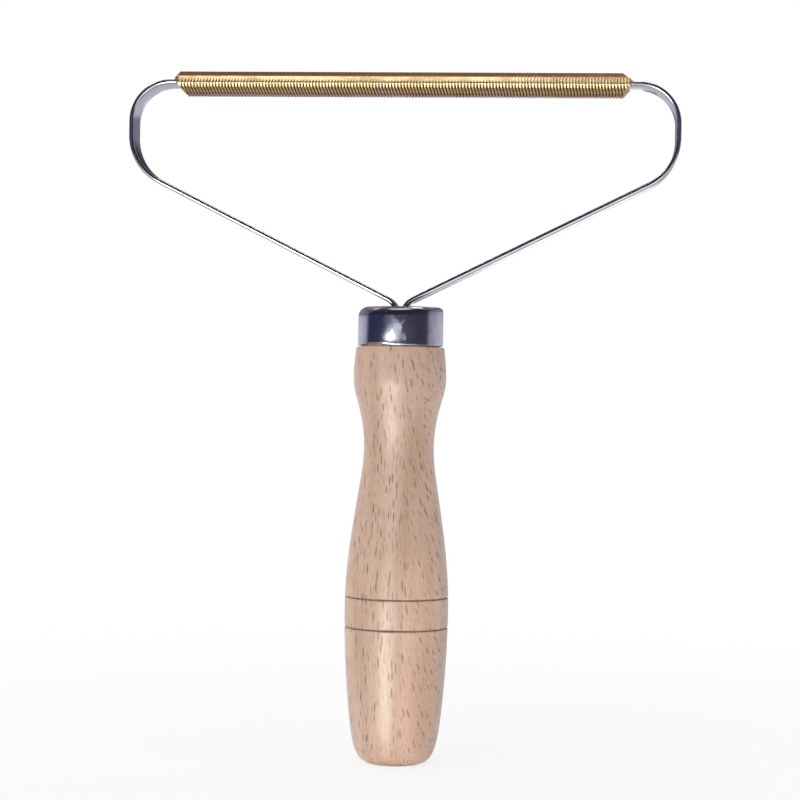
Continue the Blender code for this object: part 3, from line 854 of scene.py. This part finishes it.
class BRUSH_OT_bend_strip(bpy.types.Operator):
    """Bend the flat steel strip to its loop and tangs"""

    bl_idname = "brush.bend_strip"
    bl_label = "Bend the strip"
    bl_options = {"REGISTER", "UNDO"}

    def execute(self, context):
        s = context.scene.brush_strip
        ribbon = bmesh.new()
        line = [ribbon.verts.new((x, -s.width / 2, z)) for x, z in strip_path(s)]
        edges = [ribbon.edges.new(pair) for pair in zip(line, line[1:])]
        swept = bmesh.ops.extrude_edge_only(ribbon, edges=edges)["geom"]
        moved = [item for item in swept if isinstance(item, bmesh.types.BMVert)]
        bmesh.ops.translate(ribbon, verts=moved, vec=(0, s.width, 0))
        blank = helper_object("strip_blank", mesh_from(ribbon, "bent_strip"))
        wall = blank.modifiers.new("thickness", "SOLIDIFY")
        wall.thickness = s.thickness
        wall.offset = 0
        wall.use_even_offset = True
        edge = blank.modifiers.new("edge_round", "BEVEL")
        edge.width = s.edge_round
        edge.segments = 8
        edge.limit_method = "ANGLE"
        edge.angle_limit = math.radians(60)
        mesh = applied(blank)
        mesh.name = "bent_strip"
        mesh = carved(mesh, [pin_bore()])
        steel = polished_steel_material("polished_strip", s.steel, 0.14, 60, 0.00008)
        finished_piece("bent_strip", mesh, steel, "frame_strip")
        return {"FINISHED"}


# Front half of the sleeve's section, from the top facet down to the bottom one: depth and height as shares of
# the half depth and the half height, the share of the full ridge depth, and how brown the brass is, partly
# tarnish and partly painted shade.
SLEEVE_SECTION = (
    (0.30, 1.00, 0.02, 1.0),
    (0.78, 0.50, 0.08, 0.55),
    (1.00, -0.11, 0.42, 0.0),
    (0.94, -0.49, 1.00, 0.0),
    (0.71, -0.83, 1.00, 0.50),
    (0.32, -1.00, 1.00, 1.0),
)
# One ridge: the places of its rings as shares of the pitch from a valley, and how deep each one is cut.
RIDGE_RINGS = ((0.0, 1.0), (0.16, 0.60), (0.28, 0.12), (0.50, 0.0), (0.72, 0.12), (0.84, 0.60))
# How steeply the ridges fade above the bright facet, and the least ridge that the comb deepens there.
RIDGE_FADE = 5
COMB_FLOOR = 0.07
# Where the comb starts on the right half, and how far on it is full, as shares of the half length.
COMB_START, COMB_RISE = 0.3, 0.4
# A ridge that comes nearer to an end than this share of the pitch is left smooth.
SMOOTH_END = 0.2
# Half width of the flat inside the sleeve, over and under the strip, as a share of the strip's half width.
FLAT_SHARE = 0.38
# The least share of its length that the lip keeps far from the tip, and the places of its rings.
LEAST_LIP = 0.15
LIP_RINGS = (0.12, 0.3, 0.65, 1.0)
# The most of a facet that the rounding at one of its ends takes up.
CORNER_SHARE = 0.3


def clamped(value):
    return min(1.0, max(0.0, value))


def whole(front):
    """The closed section: the front half's points, then the back half's from the bottom up."""
    return front + [(-row[0], *row[1:]) for row in reversed(front)]


def refined(section, radius, steps, between):
    """The closed section with each corner rounded and each facet divided. Rows keep their other values."""
    rows = []
    total = len(section)
    for k, row in enumerate(section):
        before, after = section[k - 1], section[(k + 1) % total]
        here = Vector(row[:2])
        back, ahead = Vector(before[:2]) - here, Vector(after[:2]) - here
        reach = min(radius, ahead.length * CORNER_SHARE)
        start = here + back.normalized() * min(radius, back.length * CORNER_SHARE)
        end = here + ahead.normalized() * reach
        for j in range(steps + 1):
            t = j / steps
            point = start * (1 - t) ** 2 + here * 2 * t * (1 - t) + end * t**2
            rows.append((point.x, point.y, *row[2:]))
        next_start = Vector(after[:2]) - ahead.normalized() * reach
        for j in range(1, between + 1):
            t = j / (between + 1)
            point = end.lerp(next_start, t)
            rows.append((point.x, point.y, *(a + (b - a) * t for a, b in zip(row[2:], after[2:]))))
    return rows


class BRUSH_OT_press_sleeve(bpy.types.Operator):
    """Press the ribbed brass sleeve round the strip's top"""

    bl_idname = "brush.press_sleeve"
    bl_label = "Press the sleeve"
    bl_options = {"REGISTER", "UNDO"}

    def execute(self, context):
        s = context.scene.brush_sleeve
        strip = context.scene.brush_strip
        half_length, half_depth = SLEEVE_HIGH.x, SLEEVE_HIGH.y
        half_height = (SLEEVE_HIGH.z - SLEEVE_LOW.z) / 2
        middle = (SLEEVE_HIGH.z + SLEEVE_LOW.z) / 2
        front = [(-d * half_depth, h * half_height, ridge, crown) for d, h, ridge, crown in SLEEVE_SECTION]
        outline = refined(whole(front), s.corner_round, 3, 2)
        crest = [Vector(row[:2]) for row in outline]
        ridges = [row[2] for row in outline]
        shaded_browns = [row[3] for row in outline]

        def draw_back(height, slant):
            above = height - s.tip_height
            return above * slant if above > 0 else -above * s.slant_below

        def lip_length(height):
            return s.lip * max(1 - abs(height - s.tip_height) / s.lip_fade, LEAST_LIP)

        def round_strip(margin, corner, rise=None, upper=None):
            """As many points as the crest has, round the strip with this margin, or up to a rise over it."""
            side, flat = strip.width / 2 + margin, strip.thickness / 2 + margin
            inset, rise = FLAT_SHARE * strip.width / 2, flat if rise is None else rise
            top = [(-inset, rise), (-side + corner, flat), (-side, flat - corner if upper is None else upper)]
            bottom = [(-side, -flat + corner), (-side + corner, -flat), (-inset, -rise)]
            return [Vector(row[:2]) for row in refined(whole(top + bottom), corner / 2, 3, 2)]

        def limits(reach, slant):
            return [reach - draw_back(p.y, slant) - lip_length(p.y) for p in crest]

        left_end = (half_length + s.left_reach, s.left_slant)
        right_end = (half_length, s.right_slant)
        left_limits, right_limits = limits(*left_end), limits(*right_end)
        rings = []
        steps = len(RIDGE_RINGS)
        turns = math.ceil(max(left_limits + right_limits) / s.ridge_pitch)
        lean_top, lean_bottom = SLEEVE_SECTION[3][1] * half_height, SLEEVE_SECTION[4][1] * half_height
        bright_ridge = SLEEVE_SECTION[2][2]
        for k in range(-turns * steps, turns * steps + 1):
            place, depth = RIDGE_RINGS[k % steps]
            middle_x = (k // steps + place + 0.5) * s.ridge_pitch
            comb = s.comb * clamped((middle_x / half_length - COMB_START) / COMB_RISE)
            ring = []
            for point, *limit, ridge in zip(crest, left_limits, right_limits, ridges):
                x = middle_x + s.ridge_lean * clamped((lean_top - point.y) / (lean_top - lean_bottom))
                if ridge < bright_ridge:
                    faded = bright_ridge * (ridge / bright_ridge) ** RIDGE_FADE
                    ridge = max(faded, comb if ridge > COMB_FLOOR else 0.0)
                limit = limit[x > 0]
                if abs(x) > limit - s.ridge_pitch * SMOOTH_END:
                    ring.append((math.copysign(limit, x), point, 0.0))
                else:
                    cut = point - point.normalized() * s.ridge_depth * ridge * depth
                    ring.append((x, cut, depth * ridge))
            rings.append(ring)

        lip_edge = round_strip(FIT + s.lip_wall, strip.edge_round / 2, upper=s.tip_height)
        mouth = round_strip(FIT, strip.edge_round / 2, upper=s.tip_height)
        cavity = round_strip(FIT, strip.edge_round, rise=half_height - s.wall)

        def end_rings(reach, slant):
            """A right end's rings, from the last ridge over the lip and into the cavity."""

            def end_ring(outer, inner, part):
                ring = []
                for start, stop in zip(outer, inner):
                    point = start.lerp(stop, part)
                    lip = lip_length(start.y) * (1 - part)
                    ring.append((reach - draw_back(point.y, slant) - lip, point, 0.0))
                return ring

            closing = [end_ring(crest, lip_edge, part) for part in LIP_RINGS]
            closing.append(end_ring(mouth, mouth, 1.0))
            inner = reach - s.mouth_depth
            closing.append([(inner, point, 0.0) for point in mouth])
            closing.append([(inner - s.mouth_depth, point, 0.0) for point in cavity])
            return closing

        left = [[(-x, point, depth) for x, point, depth in ring] for ring in reversed(end_rings(*left_end))]
        rings = left + rings + end_rings(*right_end)

        skin = bmesh.new()
        valley = skin.verts.layers.float.new("valley")
        shaded_brown_layer = skin.verts.layers.float.new("crown")

        def settle(verts, ring):
            """Moves a ring of points to its place on the sleeve, and marks its valleys and how brown it is,
            partly with painted shade.
            """
            for vert, (x, point, depth), crown in zip(verts, ring, shaded_browns):
                vert.co = (x, point.x, point.y + middle)
                vert[valley] = depth
                vert[shaded_brown_layer] = crown

        verts = [skin.verts.new() for _ in rings[0]]
        settle(verts, rings[0])
        edges = first_edges = [skin.edges.new((verts[k - 1], verts[k])) for k in range(len(verts))]
        for ring in rings[1:]:
            swept = bmesh.ops.extrude_edge_only(skin, edges=edges)["geom"]
            fresh = {item for item in swept if isinstance(item, bmesh.types.BMVert)}
            verts = [next(e.other_vert(v) for e in v.link_edges if e.other_vert(v) in fresh) for v in verts]
            edges = [skin.edges.get((verts[k - 1], verts[k])) for k in range(len(verts))]
            settle(verts, ring)
        bmesh.ops.bridge_loops(skin, edges=first_edges + edges)
        mesh = mesh_from(skin, "ribbed_sleeve")
        mesh.set_sharp_from_angle(angle=SLEEVE_EDGE_ANGLE)
        finished_piece("ribbed_sleeve", mesh, brass_material(s), "brass_head")
        return {"FINISHED"}


class BRUSH_OT_finish_pin(bpy.types.Operator):
    """Give the cross pin its steel"""

    bl_idname = "brush.finish_pin"
    bl_label = "Finish the pin"
    bl_options = {"REGISTER", "UNDO"}

    def execute(self, context):
        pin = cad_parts["tang_pin"]
        steel = pin_material(context.scene.brush_pin)
        for slot in pin.material_slots:
            slot.material = steel
        return {"FINISHED"}


# Stage


def stage_world(backdrop):
    """White behind the brush, plain light on it, and a pale table and a dim room for it to mirror."""
    world = bpy.data.worlds.new("studio")
    bpy.context.scene.world = world
    world.use_nodes = True
    world.node_tree.nodes.clear()
    n = Nodes(world.node_tree)
    # The direction that is looked in or mirrored: x to the right, y away from the camera and z up.
    x, y, z = n.split(n.output("TexCoord", "Generated"))
    aside = n.maths("ABSOLUTE", x)

    def zone(*limits):
        """1 in a zone. Each limit is a direction, where the zone begins along it and where it is full."""
        return n.product(*(n.step(*limit) for limit in limits))

    def painted(colour, *layers):
        """A colour with other colours laid over it, each after the mask of the zone that it covers."""
        for mask, over in layers:
            colour = n.mix(mask, colour, over)
        return colour

    behind = n.step(n.plus(y, n.product(x, 0.105)), -0.13, 0.20)
    high = n.maths("MAXIMUM", zone((aside, 0.22, 0.32), (z, 0.58, 0.42)), zone((z, 0.24, 0.13)))
    table = n.product(behind, zone((z, 0.02, 0.10, 1.0, 0.36), (z, -0.71, -0.45)), high)
    level = zone((z, 0.085, 0.105))
    front_wall = painted(
        (0.060, 0.060, 0.180),
        (zone((x, -0.2, 0.1)), (0.030, 0.020, 0.110)),
        (zone((y, -0.93, -0.96)), (0.31, 0.30, 0.33)),
    )
    dim = painted(
        (0.032, 0.040, 0.098),
        (zone((x, -0.55, 0.45)), (0.062, 0.056, 0.100)),
        (level, (0.024, 0.026, 0.052)),
        (n.product(level, zone((z, 0.14, 0.12))), front_wall),
    )
    steep = zone((z, -0.60, -0.68), (y, -0.10, -0.25))
    slanted = zone((aside, 0.17, 0.25), (aside, 0.62, 0.54), (y, 0.10, -0.02))
    near_table = painted(
        (0.46, 0.41, 0.36),
        (zone((x, 0.0, 0.16)), (0.54, 0.52, 0.52)),
        (zone((z, -0.46, -0.34)), (1.25, 1.22, 1.26)),
        (n.maths("MAXIMUM", steep, slanted), (1.45, 1.42, 1.46)),
        (zone((aside, 0.60, 0.72)), (0.50, 0.49, 0.52)),
    )
    sheet = painted((0.74, 0.72, 0.75), (zone((z, -0.13, -0.09)), (0.95, 0.93, 0.95)))
    paper = painted(
        (0.58, 0.58, 0.66),
        (zone((x, -0.13, -0.08), (x, 0.14, 0.10), (z, -0.20, -0.165), (z, -0.03, -0.06)), sheet),
        (zone((y, 0.10, 0.60), (y, 0.94, 0.86)), (0.82, 0.82, 0.90)),
    )
    mirrored = painted(
        dim,
        (zone((z, -0.09, -0.24)), near_table),
        (zone((z, -0.84, -0.95)), (0.70, 0.62, 0.54)),
        (n.product(behind, zone((z, 0.50, 0.62))), (0.31, 0.235, 0.20)),
        (table, paper),
        (zone((x, 0.15, 0.25), (z, -0.35, -0.46), (y, 0.12, 0.32)), (0.20, 0.20, 0.22)),
    )
    for side, half, shade in ((-0.04, 0.03, (0.035, 0.03, 0.05)), (0.075, 0.045, (1.6, 1.6, 1.65))):
        patch = zone((n.apart(z, -0.055), 0.055, 0.03), (n.apart(x, side), half + 0.02, half))
        mirrored = painted(mirrored, (n.product(behind, patch), shade))

    light, glossy, seen = (
        n.node("Background", {"Color": colour, "Strength": strength}).outputs[0]
        for colour, strength in (((1.0, 1.0, 1.0), 0.60), (mirrored, 1.0), (backdrop, 1.0))
    )
    rays = n.node("LightPath").outputs
    unseen = n.node("MixShader", {0: rays["Is Glossy Ray"], 1: light, 2: glossy}).outputs[0]
    every = n.node("MixShader", {0: rays["Is Camera Ray"], 1: unseen, 2: seen}).outputs[0]
    n.node("OutputWorld", {0: every})


def floor_material(backdrop):
    """Pale floor that takes a soft shadow and otherwise looks like the backdrop."""
    material = bpy.data.materials.new("pale_floor")
    material.use_nodes = True
    n = Nodes(material.node_tree)
    shader = n.tree.nodes["Principled BSDF"]
    for socket, value in (("Base Color", (0.9, 0.9, 0.9)), ("Roughness", 0.8), ("Specular IOR Level", 0.0)):
        n.fill(shader.inputs[socket], value)
    bright = n.node("Emission", {"Color": backdrop, "Strength": 1.0}).outputs[0]
    away = n.vectors("LENGTH", n.output("TexCoord", "Object"))
    amount = n.product(n.output("LightPath", "Is Camera Ray"), n.step(away, 0.05, 0.40, 0.80, 1.0))
    blend = n.node("MixShader", {0: amount, 1: shader.outputs[0], 2: bright}).outputs[0]
    n.fill(n.tree.nodes["Material Output"].inputs["Surface"], blend)
    return material


def softbox(name, place, aim, size, radiance, tint=(1.0, 1.0, 1.0), spread=180, mirrored=False, lights=True):
    """A rectangular lamp of this radiance that faces a point."""
    data = bpy.data.lights.new(name, "AREA")
    data.shape = "RECTANGLE"
    data.size, data.size_y = size
    data.energy = radiance * math.pi * size[0] * size[1]
    data.color = tint
    data.spread = math.radians(spread)
    lamp = helper_object(name, data)
    lamp.location = place
    lamp.rotation_euler = (Vector(aim) - Vector(place)).to_track_quat("-Z", "Y").to_euler()
    lamp.visible_camera = False
    lamp.visible_glossy = mirrored
    lamp.visible_diffuse = lights


class BRUSH_OT_set_stage(bpy.types.Operator):
    """Lay the floor, and set the backdrop, lights and camera"""

    bl_idname = "brush.set_stage"
    bl_label = "Set the stage"
    bl_options = {"REGISTER", "UNDO"}

    def execute(self, context):
        s = context.scene.brush_stage
        stage_world(s.backdrop)
        shape = bmesh.new()
        bmesh.ops.create_circle(shape, cap_ends=True, segments=96, radius=6.0)
        floor = helper_object("floor", mesh_from(shape, "floor"))
        floor.data.materials.append(floor_material(s.backdrop))
        floor.visible_glossy = False
        floor.visible_shadow = False

        faint_lilac, lilac = (0.94, 0.94, 1.0), (0.88, 0.88, 1.0)
        softbox("window", (-0.42, -0.80, 0.295), (0, 0, 0.11), (0.24, 0.14), 3.6)
        low_place = (-0.24, -0.70, -0.16)
        softbox("low_window", low_place, (0, 0, 0.06), (0.34, 0.26), 11.0, mirrored=True, lights=False)
        softbox("front_fill", (-0.86, -1.1, 0.85), (0, 0, 0.09), (1.4, 1.4), 1.16)
        softbox("low_fill", (-0.6, -0.8, -0.4), (0, 0, 0.04), (0.9, 0.9), 0.80)
        softbox("low_spot", (-0.26, -0.60, -0.06), (0, 0, 0.008), (0.1, 0.1), 2.5, spread=21)
        softbox("rim_light", (-1.2, 0.5, 0.2), (0, 0, 0.07), (0.8, 0.8), 0.62, lilac)
        softbox("right_rim", (1.0, 0.45, -0.45), (0, 0, 0.02), (0.8, 0.8), 0.38, (0.90, 0.90, 1.0))
        softbox("overhead", (-0.04, -0.07, 0.75), (-0.04, 0, 0.17), (0.32, 0.14), 2.15, mirrored=True)
        for name, place in (("back_left", (-0.45, 0.42, 0.79)), ("back_right", (0.20, 0.29, 0.95))):
            softbox(name, place, (0, 0, 0.12), (0.36, 0.10), 6.0, faint_lilac, mirrored=True)

        camera = helper_object("camera", bpy.data.cameras.new("camera"))
        context.scene.camera = camera
        camera.data.sensor_width = 36.0
        camera.data.lens = s.lens
        side = Vector((math.cos(s.camera_turn), math.sin(s.camera_turn), 0))
        stand = Vector((math.sin(s.camera_turn), -math.cos(s.camera_turn), 0)) * s.camera_distance
        stand.z = s.camera_height
        aim = side * s.camera_side + Vector((0, 0, s.camera_height))
        look = (aim - stand).normalized()
        right = look.cross(Vector((0, 0, 1))).normalized()
        up = right.cross(look)
        rolled_right = right * math.cos(s.camera_roll) + up * math.sin(s.camera_roll)
        rolled_up = up * math.cos(s.camera_roll) - right * math.sin(s.camera_roll)
        turn = Matrix((rolled_right, rolled_up, -look)).transposed().to_4x4()
        camera.matrix_world = Matrix.Translation(stand) @ turn

        context.scene.view_settings.view_transform = "Standard"
        return {"FINISHED"}


OPERATORS = (
    BRUSH_OT_turn_handle,
    BRUSH_OT_draw_ferrule,
    BRUSH_OT_bend_strip,
    BRUSH_OT_press_sleeve,
    BRUSH_OT_finish_pin,
    BRUSH_OT_set_stage,
)


class BRUSH_PT_panel(bpy.types.Panel):
    """The brush's pieces and their sizes"""

    bl_label = "Pet Hair Brush"
    bl_idname = "BRUSH_PT_panel"
    bl_space_type = "VIEW_3D"
    bl_region_type = "UI"
    bl_category = "Brush"

    def draw(self, context):
        for operator in OPERATORS:
            self.layout.operator(operator.bl_idname)
        for attribute, kind in SETTINGS.items():
            box = self.layout.box()
            box.label(text=kind.__doc__.rstrip("."))
            settings = getattr(context.scene, attribute)
            for name in kind.__annotations__:
                box.prop(settings, name)


def register():
    for kind in (*SETTINGS.values(), *OPERATORS, BRUSH_PT_panel):
        bpy.utils.register_class(kind)
    for attribute, kind in SETTINGS.items():
        setattr(bpy.types.Scene, attribute, PointerProperty(type=kind))


def unregister():
    for attribute in SETTINGS:
        delattr(bpy.types.Scene, attribute)
    for kind in reversed((*SETTINGS.values(), *OPERATORS, BRUSH_PT_panel)):
        bpy.utils.unregister_class(kind)


def main():
    register()
    bpy.ops.brush.turn_handle()
    bpy.ops.brush.draw_ferrule()
    bpy.ops.brush.bend_strip()
    bpy.ops.brush.press_sleeve()
    bpy.ops.brush.finish_pin()
    bpy.ops.brush.set_stage()


if __name__ == "__main__":
    main()
